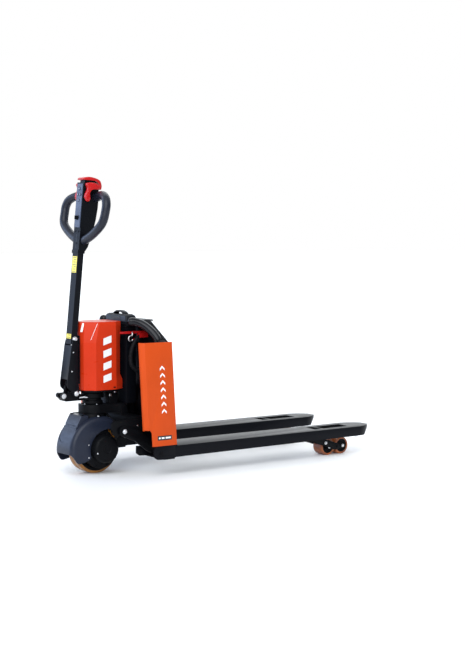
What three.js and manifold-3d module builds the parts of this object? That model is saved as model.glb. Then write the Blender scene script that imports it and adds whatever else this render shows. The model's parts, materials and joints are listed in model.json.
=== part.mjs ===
// Electric pallet truck: millimetres, +Z up, +X from the operator towards the fork tips.
// Every piece is drawn with x = 0 on the steering axis and y = 0 on the centre plane.
// The whole group is then moved so that the origin is the bottom centre of the bounding box.
import * as THREE from "three";
import { mergeVertices } from "three/addons/utils/BufferGeometryUtils.js";
import Module from "manifold-3d";

const wasm = await Module();
wasm.setup();

// ---------------------------------------------------------------- driving dimensions
const GAP = 0.3; // between two pieces that touch
const SIDES = [["right", -1], ["left", 1]]; // -Y is the right-hand side, seen from behind the tiller

const FORK_TIP_X = 1400;
const FORK_HEEL_X = 249.5;
const FORK_TOP = 129; // as drawn, part-way up; the lift runs from 46 below to 69 above
const FORK_TOP_X = 258.5; // the top face starts here; under the bulkhead it is a hair lower
const FORK_CENTRE_Y = 201.5;
const FORK_HALF = 76.5;
const FORK_WALL = 5;
const FORK_DEPTH_HEEL = 50;
const FORK_DEPTH_TIP = 43.5;
const TIP_LENGTH = 100; // the tip narrows over this length
const TIP_ROUNDING = 1.25; // 1 is an ellipse; more is more pointed
const OPENING_HALF = 36; // half width of the openings over the load rollers

const DRIVE_R = 105;
const DRIVE_HALF = 35;
const RIM_R = 94;

const ROLLER_R = 40;
const ROLLER_HALF = 32;
const BOGIE_X = 1182;
const ROLLER_PITCH = 82;
const ARM_PIVOT = [992, 100];

const RING_R = 62;
const RING_BORE = 40.5;
const RING_Z = [264, 301];

const TILLER_PIVOT = [-98, 354];
const TUBE_FOOT = [-97.5, 627]; // the reference point of the leaning tiller tube
const TUBE_LEAN = THREE.MathUtils.degToRad(5.43);

const PANEL_Y = 278;
const PANEL_Z = [133, 579];
const PANEL_LEAN = THREE.MathUtils.degToRad(3.4);
const BULKHEAD_T = 8;
const BULKHEAD_TOP = 660.6;
const HOOD_Z = 661; // underside of the hood

const CYLINDER_X = 197;
const ROCKER_PIVOT = [43, 197];
const ROCKER_END = [215, 95];

// ---------------------------------------------------------------- materials
function paint(color, roughness, metalness) {
  return new THREE.MeshStandardMaterial({ color, roughness, metalness });
}
const steelBlack = paint(0x1b1d22, 0.5, 0.3);
const castBlack = paint(0x17181c, 0.65, 0.3);
const plasticBlack = paint(0x15161a, 0.5, 0);
const fenderGrey = paint(0x39415a, 0.5, 0);
const coverOrange = paint(0xd63e20, 0.4, 0);
const panelOrange = paint(0xdc5624, 0.4, 0.2);
const controlRed = paint(0xc81e1e, 0.4, 0);
const gripRubber = paint(0x3a4158, 0.8, 0);
const panelGrey = paint(0x6f7a9c, 0.5, 0);
const tyreAmber = paint(0x96551a, 0.55, 0);
const rollerOrange = paint(0xb85a18, 0.5, 0);
const zinc = paint(0xb8bcc2, 0.35, 0.9);
const chromeRod = paint(0xc9ccd2, 0.15, 1);

// ---------------------------------------------------------------- shape helpers
function outline(points) {
  return new THREE.Shape(points.map(([a, b]) => new THREE.Vector2(a, b)));
}

function extrude(points, depth) {
  return new THREE.ExtrudeGeometry(outline(points), { depth, bevelEnabled: false });
}

// An (x, z) outline, from y0 to y1.
function prismY(points, y0, y1) {
  return extrude(points, y1 - y0).rotateX(Math.PI / 2).translate(0, y1, 0);
}

// A (y, z) outline, from x0 to x1.
function prismX(points, x0, x1) {
  const turn = new THREE.Matrix4().makeBasis(
    new THREE.Vector3(0, 1, 0), new THREE.Vector3(0, 0, 1), new THREE.Vector3(1, 0, 0));
  return extrude(points, x1 - x0).applyMatrix4(turn).translate(x0, 0, 0);
}

// An (x, y) outline, from z0 to z1.
function prismZ(points, z0, z1) {
  return extrude(points, z1 - z0).translate(0, 0, z0);
}

function block(x0, x1, y0, y1, z0, z1) {
  return new THREE.BoxGeometry(x1 - x0, y1 - y0, z1 - z0)
    .translate((x0 + x1) / 2, (y0 + y1) / 2, (z0 + z1) / 2);
}

function rodY(radius, x, z, y0, y1, sides = 24) {
  return new THREE.CylinderGeometry(radius, radius, y1 - y0, sides).translate(x, (y0 + y1) / 2, z);
}

function rodZ(radius, x, y, z0, z1, sides = 24) {
  return new THREE.CylinderGeometry(radius, radius, z1 - z0, sides)
    .rotateX(Math.PI / 2).translate(x, y, (z0 + z1) / 2);
}

function rodX(radius, x0, x1, y, z, sides = 16) {
  return new THREE.CylinderGeometry(radius, radius, x1 - x0, sides)
    .rotateZ(Math.PI / 2).translate((x0 + x1) / 2, y, z);
}

// A (radius, height) profile turned about Y; it closes on itself or on the axis.
function turnY(profile, x, z, sides = 32) {
  const points = profile.map(([r, y]) => new THREE.Vector2(r, y));
  return new THREE.LatheGeometry(points, sides).translate(x, 0, z);
}

function turnZ(profile, sides = 32) {
  const points = profile.map(([r, z]) => new THREE.Vector2(r, z));
  return new THREE.LatheGeometry(points, sides).rotateX(Math.PI / 2);
}

function tube(points, radius, steps, sides = 12) {
  const circle = new THREE.Shape().absarc(0, 0, radius, 0, Math.PI * 2);
  const path = new THREE.CatmullRomCurve3(points.map((p) => new THREE.Vector3(...p)));
  return new THREE.ExtrudeGeometry(circle, {
    extrudePath: path, steps, curveSegments: sides / 2, bevelEnabled: false });
}

// A skin through (x, y) outlines at rising heights, with flat ends.
function loft(levels) {
  const count = levels[0].points.length;
  const positions = levels.flatMap(({ z, points }) => points.flatMap(([x, y]) => [x, y, z]));
  const faces = [];
  for (let level = 0; level + 1 < levels.length; level += 1) {
    for (let i = 0; i < count; i += 1) {
      const a = level * count + i;
      const b = level * count + (i + 1) % count;
      faces.push(a, b, b + count, a, b + count, a + count);
    }
  }
  for (const level of [0, levels.length - 1]) {
    const flat = levels[level].points.map(([x, y]) => new THREE.Vector2(x, y));
    for (const [a, b, c] of THREE.ShapeUtils.triangulateShape(flat, [])) {
      const start = level * count;
      faces.push(...(level === 0 ? [start + a, start + c, start + b] : [start + a, start + b, start + c]));
    }
  }
  const geometry = new THREE.BufferGeometry();
  geometry.setAttribute("position", new THREE.Float32BufferAttribute(positions, 3));
  geometry.setIndex(faces);
  return geometry;
}

// ---------------------------------------------------------------- joining and cutting
function toManifold(geometry) {
  const bare = geometry.clone();
  for (const name of Object.keys(bare.attributes)) {
    if (name !== "position") bare.deleteAttribute(name);
  }
  const merged = mergeVertices(bare, 1e-3);
  const index = merged.index.array;
  const triangles = [];
  for (let i = 0; i < index.length; i += 3) {
    const [a, b, c] = [index[i], index[i + 1], index[i + 2]];
    if (a !== b && b !== c && c !== a) triangles.push(a, b, c);
  }
  return new wasm.Manifold(new wasm.Mesh({
    numProp: 3,
    vertProperties: new Float32Array(merged.attributes.position.array),
    triVerts: new Uint32Array(triangles),
  }));
}

function fromManifold(solid) {
  const mesh = solid.getMesh();
  const geometry = new THREE.BufferGeometry();
  geometry.setAttribute("position", new THREE.BufferAttribute(new Float32Array(mesh.vertProperties), 3));
  geometry.setIndex(new THREE.BufferAttribute(new Uint32Array(mesh.triVerts), 1));
  geometry.computeVertexNormals();
  return geometry;
}

function join(...pieces) {
  return fromManifold(pieces.map(toManifold).reduce((a, b) => a.add(b)));
}

function cut(piece, ...tools) {
  return fromManifold(tools.map(toManifold).reduce((a, b) => a.subtract(b), toManifold(piece)));
}

function common(piece, ...others) {
  return fromManifold(others.map(toManifold).reduce((a, b) => a.intersect(b), toManifold(piece)));
}

// ---------------------------------------------------------------- outline helpers
function arc(cx, cy, radius, fromDeg, toDeg, steps) {
  return Array.from({ length: steps + 1 }, (_, i) => {
    const angle = THREE.MathUtils.degToRad(fromDeg + ((toDeg - fromDeg) * i) / steps);
    return [cx + radius * Math.cos(angle), cy + radius * Math.sin(angle)];
  });
}

// The points of one half (y < 0), and their mirror images in reverse order.
function bothHalves(half) {
  return [...half, ...half.map(([x, y]) => [x, -y]).reverse()];
}

// A straight bar between two pins, with round ends of its own radii.
function barOutline([ax, az], ra, [bx, bz], rb, steps = 8) {
  const heading = THREE.MathUtils.radToDeg(Math.atan2(bz - az, bx - ax));
  return [...arc(ax, az, ra, heading + 90, heading + 270, steps),
    ...arc(bx, bz, rb, heading - 90, heading + 90, steps)];
}

// ---------------------------------------------------------------- the group
const truck = new THREE.Group();

function add(parent, name, geometry, material) {
  const mesh = new THREE.Mesh(geometry, material);
  mesh.name = name;
  parent.add(mesh);
  return mesh;
}

// ---------------------------------------------------------------- chassis
function chassisCasting() {
  const ring = rodZ(RING_R, 0, 0, ...RING_Z, 40);
  const shoulder = prismZ([[10, -61], [70, -61], [128, -70], [128, 70], [70, 61], [10, 61]], ...RING_Z);
  const post = block(58, 100, -45, 45, RING_Z[1] - 1, 357.7);
  const downArm = prismY([[98, 300], [119, 301], [129, 296], [140, 262], [140, 200], [104, 200], [104, 250]],
    -70, 70);
  const crossMember = block(104, 160, -170, 170, 190, 252);
  const shelf = block(150, 222, -120, 120, 190, 205);
  const cheekOutline = [[-9, 205], [-3, 184], [8, 177], [60, 177], [108, 190], [160, 190],
    [160, 243], [4, 243], [-9, 231]];
  const cheeks = SIDES.map(([, side]) => (side < 0
    ? prismY(cheekOutline, -178, -166) : prismY(cheekOutline, 166, 178)));
  const bore = rodZ(RING_BORE, 0, 0, 200, 357, 40);
  const pinHoles = rodY(9.5, ...ROCKER_PIVOT, -190, 190, 20);
  return cut(join(ring, shoulder, post, downArm, crossMember, shelf, ...cheeks), bore, pinHoles);
}

// Half of the cover's plan outline; everything ahead of the steering axis stays inside the
// circle that the tiller's back edge sweeps.
const COVER_LEVELS = [
  { z: 366, half: [[-72, -22], [-69, -44], [-30, -83], [72, -84], [118, -58]] },
  { z: 405, half: [[-72, -22], [-69, -44], [-30, -83], [72, -84], [118, -58]] },
  { z: 432, half: [[-72, -22], [-69, -44], [-30, -83], [71, -84], [104, -60]] },
  { z: 572, half: [[-72, -22], [-69, -44], [-31, -83], [71, -84], [104, -60]] },
  { z: 645, half: [[-74, -22], [-63, -40], [-12, -76], [70, -83], [107, -62]] },
  { z: 661, half: [[-74, -20], [-60, -34], [-8, -70], [69, -80], [107, -60]] },
];
const COVER_WALL = 4;

function coverLoft(inset) {
  const centre = 10;
  return loft(COVER_LEVELS.map(({ z, half }, i) => ({
    z: z + (inset > 0 ? (i === 0 ? -2 : -inset) : 0),
    points: bothHalves(half.map(([x, y]) => [x - Math.sign(x - centre) * inset, y + inset])),
  })));
}

function addChassis(parent) {
  add(parent, "chassis_casting", chassisCasting(), castBlack);
  const trayHalf = [[-66, -20], [-62, -41], [-30, -77], [70, -79], [112, -56]];
  add(parent, "cover_tray", prismZ(bothHalves(trayHalf), 358, 366 - GAP), plasticBlack);
  add(parent, "front_cover", cut(coverLoft(0), coverLoft(COVER_WALL)), coverOrange);
  const ribs = Array.from({ length: 6 }, (_, i) => block(-78.5, -75.5, -20, 20, 398 + i * 34, 424 + i * 34));
  add(parent, "vent_panel", join(block(-76, -73.2, -21.5, 21.5, 394, 602), ...ribs), plasticBlack);
  add(parent, "controller_box", block(-20, 62, -60, 60, 366 + GAP, 560), plasticBlack);
  const housingOuter = join(block(120.5, 171.5, -84, 84, 301 + GAP, 640), block(118, 173, -90, 90, 638, 652));
  add(parent, "battery_housing", cut(housingOuter, block(123.5, 168.5, -81, 81, 306, 660)), plasticBlack);
  add(parent, "lift_cylinder", cut(join(
    rodZ(21, CYLINDER_X, 0, 205 + GAP, 560, 28), rodZ(23, CYLINDER_X, 0, 540, 566, 28)),
  rodZ(14, CYLINDER_X, 0, 212, 570, 28)), steelBlack);
  add(parent, "pump_unit", join(block(178, 218, 42, 116, 205 + GAP, 270),
    rodZ(19, 198, 79, 265, 370, 24)), steelBlack);
}

function addBattery(parent) {
  const cap = loft([
    { z: 652 + GAP, points: bothHalves([[118, -88], [171, -88]]) },
    { z: 682, points: bothHalves([[118, -88], [171, -88]]) },
    { z: 688, points: bothHalves([[122, -84], [167, -84]]) },
  ]);
  const body = block(124, 168, -80.5, 80.5, 308, 655);
  const grip = prismX([[-46, 686], ...arc(0, 672, 34, 150, 30, 10), [46, 686]], 132, 158);
  const fingers = prismX([[-26, 689.5], ...arc(0, 676, 22, 142, 38, 8), [26, 689.5]], 120, 170);
  add(parent, "battery_pack", cut(join(body, cap, grip), fingers), plasticBlack);
}

// ---------------------------------------------------------------- steering head and drive
function fenderShell() {
  const outerProfile = [[0, -75], [131, -75], [139, -70], [147, -55], [147, 55], [139, 70], [131, 75],
    [0, 75]];
  const innerProfile = [[0, -71], [129, -71], [136, -67], [142.5, -54], [142.5, 54], [136, 67], [129, 71],
    [0, 71]];
  const outer = turnY(outerProfile, 0, DRIVE_R, 48);
  const inner = turnY(innerProfile, 0, DRIVE_R, 48);
  const keep = prismY([[-150, 256], [60, 256], [60, 190], [-40, 100], [-62, 66], [-84, 58], [-113, 54],
    [-136, 78], [-150, 92]], -80, 80);
  const sideOpening = rodY(90, 36, DRIVE_R, -80, 80, 40);
  const frontArch = block(-160, -70, -60, 60, 30, 88);
  const neckHole = rodZ(61, 0, 0, 214, 270, 32);
  return cut(common(cut(outer, inner), keep), sideOpening, frontArch, neckHole);
}

function addSteering(parent) {
  add(parent, "steering_head", turnZ([[0, 262 + GAP], [34, 262 + GAP], [34, 301.5], [45, 301.5], [45, 316],
    [38, 318], [38, 328], [50, 330], [50, 350], [46, 353], [0, 353]], 24), castBlack);
  const nose = arc(-156, 346, 10, 250, 100, 8);
  const eye = arc(...TILLER_PIVOT, 12, 130, 50, 4);
  const bracketOutline = [[-50.6, 322], [-146, 322], ...nose, [-130, 357], [-112, 363], ...eye, [-84, 350],
    [-50.6, 345]];
  add(parent, "tiller_bracket", cut(prismY(bracketOutline, -27, 27),
    rodY(7.4, ...TILLER_PIVOT, -40, 40, 20), block(-180, -120, -9, 9, 336, 380)), castBlack);
  add(parent, "yoke", join(rodZ(60, 0, 0, 214, 262, 36), block(-40, 40, -62, -38, 190, 216)), castBlack);
  add(parent, "drive_fender", fenderShell(), fenderGrey);
  const gearCase = rodY(80, 4, DRIVE_R, -70, -37.5, 36);
  const caseNeck = block(-40, 40, -70, -37.5, 105, 190 - GAP);
  const wheelShaft = rodY(24, 0, DRIVE_R, -38, 30, 24);
  add(parent, "gearbox", join(gearCase, caseNeck, wheelShaft), castBlack);
  const capProfile = [[0, -112], [50, -112], [58, -106], [61, -96], [61, -70 - GAP], [0, -70 - GAP]];
  add(parent, "drive_motor", turnY(capProfile, 10, 112, 28), castBlack);
}

function addDriveWheel(parent) {
  add(parent, "drive_tyre", turnY([[RIM_R, -35], [101, -35], [DRIVE_R, -31], [DRIVE_R, 31], [101, 35],
    [RIM_R, 35], [RIM_R, -35]], 0, DRIVE_R, 40), tyreAmber);
  const rimEdge = RIM_R - GAP;
  add(parent, "drive_rim", turnY([[26, -18], [58, -18], [76, -28], [84, -34], [rimEdge, -34], [rimEdge, 34],
    [84, 34], [76, 20], [26, 20], [26, -18]], 0, DRIVE_R, 40), castBlack);
}

// ---------------------------------------------------------------- tiller
// The leaning frame: u towards the forks, w up along the tube.
function leaningFrame(parent) {
  const frame = new THREE.Group();
  frame.position.set(TUBE_FOOT[0], 0, TUBE_FOOT[1]);
  frame.rotation.y = TUBE_LEAN;
  parent.add(frame);
  return frame;
}

const HEAD_FACE_U = -16;
const HEAD_HALF = 29;
const HEAD_W = [339, 634];
const THROTTLE_PIVOT = [15, 612];
const FOOT_PIVOT = [25.3, -271.8]; // the tiller's pivot, in the leaning frame

function tillerBase() {
  const frontEdge = [[-13, -44], [-16.3, -67], [-24, -234], [-20, -249], [3, -268], [10, -281]];
  const pivotEye = arc(...FOOT_PIVOT, 16, 236, 380, 8);
  const side = [...frontEdge, ...pivotEye, [31, -225], [14, -60], [10, -44]];
  const walls = [prismY(side, -32, -28), prismY(side, 28, 32)];
  const front = prismY([[-16.3, -67], [-23, -214], [-19.6, -214], [-13, -67]], -28.5, 28.5);
  const brace = prismY([[-19, -150], [-18.6, -140], [8, -140], [8, -150]], -28.5, 28.5);
  const springGap = block(-12, 20, -12, 12, -160, -130);
  return cut(join(...walls, front, cut(brace, springGap)), rodY(7.4, ...FOOT_PIVOT, -40, 40, 20));
}

function headShell() {
  const side = [[HEAD_FACE_U, HEAD_W[0]], [18, HEAD_W[0]], [28, 358], [48, 435], [58, 495], [61, 560],
    [58, 612], [45, HEAD_W[1]], [HEAD_FACE_U, HEAD_W[1]]];
  return cut(prismY(side, -HEAD_HALF, HEAD_HALF), rodY(5.6, ...THROTTLE_PIVOT, -40, 40, 16));
}

const LOOP_R = 19;

function loopHalf(side) {
  const route = [[8, 20, 384], [9, 80, 408], [9, 138, 444], [12, 166, 482], [17, 172, 522], [22, 158, 556],
    [32, 122, 578], [43, 76, 582], [47, 46, 576], [47, 20, 575]];
  const handle = tube(route.map(([u, y, w]) => [u, side * y, w]), LOOP_R, 28, 12);
  return cut(handle, block(-60, 90, -HEAD_HALF - GAP, HEAD_HALF + GAP, 330, 640));
}

const BUTTONS = [["horn_button", 606, 0, 6.5], ["lift_button", 582, -10, 5.5], ["lower_button", 582, 10, 5.5],
  ["creep_button", 556, 0, 5.5]];
const PANEL_FACE_U = HEAD_FACE_U - GAP - 3;

function addTiller(parent) {
  const frame = leaningFrame(parent);
  add(frame, "tiller_base", tillerBase(), steelBlack);
  add(frame, "tiller_tube", block(-16, 12, -23, 23, -62, HEAD_W[0] - GAP), steelBlack);
  const boltHeads = SIDES.map(([, side]) => rodY(11, ...FOOT_PIVOT,
    side < 0 ? -39 : 32 + GAP, side < 0 ? -32 - GAP : 39, 12));
  add(frame, "pivot_bolt", join(rodY(7, ...FOOT_PIVOT, -36, 36, 20), ...boltHeads), zinc);
  add(frame, "head_shell", headShell(), plasticBlack);
  const holes = BUTTONS.map(([, w, y, r]) => rodX(r + 0.5, PANEL_FACE_U - 5, HEAD_FACE_U, y, w));
  const keyHole = rodX(9.5, PANEL_FACE_U - 5, HEAD_FACE_U, 0, 482);
  const film = block(PANEL_FACE_U, HEAD_FACE_U - GAP, -23, 23, 440, 628);
  add(frame, "control_panel", cut(film, ...holes, keyHole), panelGrey);
  for (const [name, side] of SIDES) {
    add(frame, `loop_handle_${name}`, loopHalf(side), gripRubber);
  }
  for (const [name, w, y, r] of BUTTONS) {
    add(frame, name, rodX(r, PANEL_FACE_U - 3.5, HEAD_FACE_U - 2.6, y, w), plasticBlack);
  }
  add(frame, "key_switch", join(rodX(9, PANEL_FACE_U - 4, HEAD_FACE_U - 2, 0, 482),
    block(PANEL_FACE_U - 14, PANEL_FACE_U - 3, -2.5, 2.5, 474, 490)), plasticBlack);
  const wing = [[-12, 628], [-8, 600], [-14, 576], [-9, 557], [4, 552], [8, 566], [3, 586], [12, 604],
    [32, 608], [58, 608], [62, 620], [40, 632], [12, 636]];
  add(frame, "throttle", join(prismY(wing, -50, -30), prismY(wing, 30, 50),
    rodY(5, ...THROTTLE_PIVOT, -32, 32, 16)), controlRed);
  const cap = [[-25, 644], [18, 648], [48, 643], [64, 622], [71, 616], [74, 626], [66, 648], [42, 659],
    [10, 661], [-25, 651]];
  add(frame, "belly_button", prismY(cap, -29.5, 29.5), controlRed);
}

// ---------------------------------------------------------------- gas spring inside the tiller's foot
const SPRING_TOP = [-100, 548];
const SPRING_BOTTOM = [-140, 350];

function addGasSpring(parent) {
  const frame = new THREE.Group();
  frame.position.set(SPRING_TOP[0], 0, SPRING_TOP[1]);
  const [dx, dz] = [SPRING_BOTTOM[0] - SPRING_TOP[0], SPRING_BOTTOM[1] - SPRING_TOP[1]];
  frame.rotation.y = Math.atan2(-dx, -dz);
  parent.add(frame);
  const barrel = [[0, -20], [4.6, -20], [4.6, -96], [8, -96], [8, -8], [0, -8]];
  add(frame, "spring_cylinder", turnZ(barrel, 16), steelBlack);
  add(frame, "spring_rod", rodZ(3.6, 0, 0, -188, -84, 12), chromeRod);
}

// ---------------------------------------------------------------- fork frame
function forkSolid(side) {
  const y = side * FORK_CENTRE_Y;
  const heelBottom = FORK_TOP - FORK_DEPTH_HEEL;
  const tipBottom = FORK_TOP - FORK_DEPTH_TIP;
  const noseUnderside = [[1337, tipBottom], [1343, 92], [1351, 100], [1361, 107.5], [1374, 114], [1390, 118]];
  const nose = [...noseUnderside, [1398.5, 120.5], [FORK_TIP_X, 123], [1397, 126.8], [1389, FORK_TOP]];
  const underBulkhead = [[FORK_TOP_X, FORK_TOP], [FORK_TOP_X, FORK_TOP - 0.2], [FORK_HEEL_X, FORK_TOP - 0.2]];
  const profile = [[FORK_HEEL_X, heelBottom], ...nose, ...underBulkhead];
  const tipArc = arc(0, 0, 1, -90, 90, 28).map(([cx, cy]) => [
    FORK_TIP_X - TIP_LENGTH + Math.pow(Math.abs(cx), TIP_ROUNDING) * TIP_LENGTH,
    Math.sign(cy) * Math.pow(Math.abs(cy), TIP_ROUNDING) * FORK_HALF]);
  const centred = [[FORK_HEEL_X, -FORK_HALF], ...tipArc, [FORK_HEEL_X, FORK_HALF]];
  const plan = centred.map(([px, py]) => [px, py + y]);
  const outer = common(prismY(profile, y - 90, y + 90), prismZ(plan, 60, 140));
  const inside = FORK_HALF - FORK_WALL;
  const channel = block(FORK_HEEL_X - 5, 1340, y - 60, y + 60, 60, FORK_TOP - FORK_WALL);
  const channelWide = block(FORK_HEEL_X - 5, 1308, y - inside, y + inside, 60, FORK_TOP - FORK_WALL);
  const opening = block(1107, 1260, y - OPENING_HALF, y + OPENING_HALF, 60, 140);
  const slot = block(1058, 1099, y - OPENING_HALF, y + OPENING_HALF, 60, 140);
  return cut(outer, channel, channelWide, opening, slot);
}

// Leaning parts: x of the panels' and bulkhead's rear edge at height z.
function rearEdgeX(z) {
  return 257 - (z - PANEL_Z[0]) * Math.tan(PANEL_LEAN);
}

function bulkhead() {
  const wide = PANEL_Y - 4 - GAP;
  const half = [[-wide, 129 + GAP], [-wide, PANEL_Z[1] - 1], [-250, PANEL_Z[1] - 1],
    [-122, BULKHEAD_TOP], [0, BULKHEAD_TOP]];
  const face = [...half, ...half.slice(0, -1).map(([y, z]) => [-y, z]).reverse()];
  const z0 = 100;
  const z1 = 700;
  const lean = prismY([[rearEdgeX(z0) - BULKHEAD_T, z0], [rearEdgeX(z0), z0], [rearEdgeX(z1), z1],
    [rearEdgeX(z1) - BULKHEAD_T, z1]], -300, 300);
  return common(prismX(face, 150, 300), lean);
}

const BENT_TUBE = [[124, 113, 660], [137, 128, 660], [156, 158, 650], [176, 194, 624], [192, 221, 590],
  [200, 232, 552]];
const BENT_TUBE_R = 17.5;

function hoodSheet() {
  const half = [[-252, 572], [-122, HOOD_Z], [0, HOOD_Z]];
  const top = half.map(([y, z]) => [y, z + 6]);
  const lower = [...half, ...half.slice(0, -1).map(([y, z]) => [-y, z]).reverse()];
  const upper = [...top, ...top.slice(0, -1).map(([y, z]) => [-y, z]).reverse()].reverse();
  const sheet = prismX([...lower, ...upper], 178, 233);
  const frontTrim = prismX([[-300, 500], [300, 500], [300, HOOD_Z + 0.01], [-300, HOOD_Z + 0.01]],
    rearEdgeX(HOOD_Z) - BULKHEAD_T - GAP, 300);
  const tubes = SIDES.map(([, side]) => tube(BENT_TUBE.map(([x, y, z]) => [x, side * y, z]),
    BENT_TUBE_R + 0.7, 16, 12));
  return cut(sheet, frontTrim, ...tubes);
}

function sidePanel(side) {
  const t = 4;
  const flange = [[118, -PANEL_Y], [104, -262], [104, -250], [108, -250], [108, -260.4],
    [119.6, -PANEL_Y + t]];
  const plan = [...flange, [257, -PANEL_Y + t], [257, -PANEL_Y]];
  const sheared = prismZ(plan.map(([x, y]) => [x, side < 0 ? y : -y]), ...PANEL_Z);
  const position = sheared.attributes.position;
  for (let i = 0; i < position.count; i += 1) {
    const z = position.getZ(i);
    position.setX(i, position.getX(i) - (z - PANEL_Z[0]) * Math.tan(PANEL_LEAN));
  }
  const notch = prismY([[100, 120], [100, 204], [121, 204], [129, 192], [134, 120]], side < 0 ? -300 : 240,
    side < 0 ? -240 : 300);
  return cut(sheared, notch);
}

function heel(side) {
  const outerOutline = [[143, 86], [158, 75], [209, 72], [FORK_HEEL_X - GAP, 78], [FORK_HEEL_X - GAP, 128.7],
    [246, 132.7], [150, 132.7], [143, 118]];
  const innerOutline = [[143, 86], [158, 75], [209, 72], [FORK_HEEL_X - GAP, 78], [FORK_HEEL_X - GAP, 128.7],
    [241, 240], [166, 240], [166, 118], [143, 118]];
  const [outerFace, outerBack] = [side * 278, side * 268];
  const [innerFace, innerBack] = [side * 125, side * 135];
  return join(
    prismY(outerOutline, Math.min(outerFace, outerBack), Math.max(outerFace, outerBack)),
    prismY(innerOutline, Math.min(innerFace, innerBack), Math.max(innerFace, innerBack)),
    block(190, 246, Math.min(outerFace, innerFace), Math.max(outerFace, innerFace), 72.5, 79));
}

function addForkFrame(parent) {
  for (const [name, side] of SIDES) {
    add(parent, `fork_${name}`, forkSolid(side), steelBlack);
    add(parent, `side_panel_${name}`, sidePanel(side), panelOrange);
    add(parent, `heel_${name}`, heel(side), steelBlack);
    const route = BENT_TUBE.map(([x, y, z]) => [x, side * y, z]);
    add(parent, `bent_tube_${name}`, tube(route, BENT_TUBE_R, 16, 12), plasticBlack);
    add(parent, `entry_roller_${name}`,
      rodY(13, 1322, 84, side * FORK_CENTRE_Y - 28, side * FORK_CENTRE_Y + 28, 20), zinc);
  }
  add(parent, "bulkhead", bulkhead(), steelBlack);
  add(parent, "hood", hoodSheet(), plasticBlack);
  const rod = rodZ(12, CYLINDER_X, 0, 262, 650, 24);
  const rodHead = rodZ(18, CYLINDER_X, 0, 645, HOOD_Z - GAP, 24);
  add(parent, "piston_rod", join(rod, rodHead), chromeRod);
  add(parent, "red_bracket", join(block(82, 219, -98, -92, 600, 617), block(178, 212, -118, -91, 588, 611)),
    controlRed);
}

// ---------------------------------------------------------------- lift linkage and load wheels
function addRocker(parent, name, side) {
  const front = arc(...ROCKER_PIVOT, 22, 250, 75, 8);
  const rear = arc(...ROCKER_END, 14, 70, -110, 6);
  const shape = [...front, [120, 196], [176, 150], ...rear, [160, 103], [100, 150]];
  const [y0, y1] = side < 0 ? [-192, -180] : [180, 192];
  const pin = rodY(9, ...ROCKER_PIVOT, side < 0 ? -197 : 162, side < 0 ? -162 : 197, 20);
  add(parent, `rocker_${name}`, join(prismY(shape, y0, y1), pin), castBlack);
}

function addPushRod(parent, name, side) {
  add(parent, `push_rod_${name}`, rodX(6, 262, 968, side * FORK_CENTRE_Y, 114, 12), steelBlack);
}

function addLoadArm(parent, name, side) {
  const y = side * FORK_CENTRE_Y;
  const plate = barOutline(ARM_PIVOT, 16, [BOGIE_X, ROLLER_R], 15);
  const tubePivot = rodY(13, ...ARM_PIVOT, y - 70, y + 70, 20);
  const web = prismY([[1000, 84], [1004, 108], [1080, 84], [1072, 62]], y - 43, y + 43);
  add(parent, `load_arm_${name}`, join(prismY(plate, y - 49, y - 42.5), prismY(plate, y + 42.5, y + 49),
    tubePivot, web), castBlack);
}

function addBogie(parent, name, side) {
  const y = side * FORK_CENTRE_Y;
  const front = [BOGIE_X - ROLLER_PITCH / 2, ROLLER_R];
  const rear = [BOGIE_X + ROLLER_PITCH / 2, ROLLER_R];
  const plate = barOutline(front, 14, rear, 14);
  const axles = [front, rear].map(([x, z]) => rodY(6, x, z, y - 41, y + 41, 16));
  add(parent, `bogie_${name}`, join(prismY(plate, y - 40, y - 34), prismY(plate, y + 34, y + 40), ...axles),
    castBlack);
  for (const [place, [x, z]] of [["inner", front], ["outer", rear]]) {
    const profile = [[6.5, -24], [30, -24], [33, -ROLLER_HALF], [37, -ROLLER_HALF], [ROLLER_R, -29],
      [ROLLER_R, 29], [37, ROLLER_HALF], [33, ROLLER_HALF], [30, 24], [6.5, 24], [6.5, -24]];
    const roller = add(parent, `load_roller_${name}_${place}`, turnY(profile, 0, 0, 24), rollerOrange);
    roller.position.set(x, y, z);
  }
}

// ---------------------------------------------------------------- assembly
addChassis(truck);
addBattery(truck);
addSteering(truck);
addDriveWheel(truck);
addTiller(truck);
addGasSpring(truck);
addForkFrame(truck);
for (const [name, side] of SIDES) {
  addRocker(truck, name, side);
  addPushRod(truck, name, side);
  addLoadArm(truck, name, side);
  addBogie(truck, name, side);
}

truck.updateMatrixWorld(true);
const box = new THREE.Box3().setFromObject(truck, true);
truck.position.set(-(box.min.x + box.max.x) / 2, 0, -box.min.z);

export default truck;
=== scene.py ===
"""Looks of the electric pallet truck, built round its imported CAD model.

Places are millimetres from the steering axis (x towards the fork tips, y to the left, z up),
turned into the frame's metres by at() and, on the leaning tiller, by on_tiller().
"""
import json
import math

import bmesh
import bpy
from mathutils import Matrix, Vector


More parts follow.
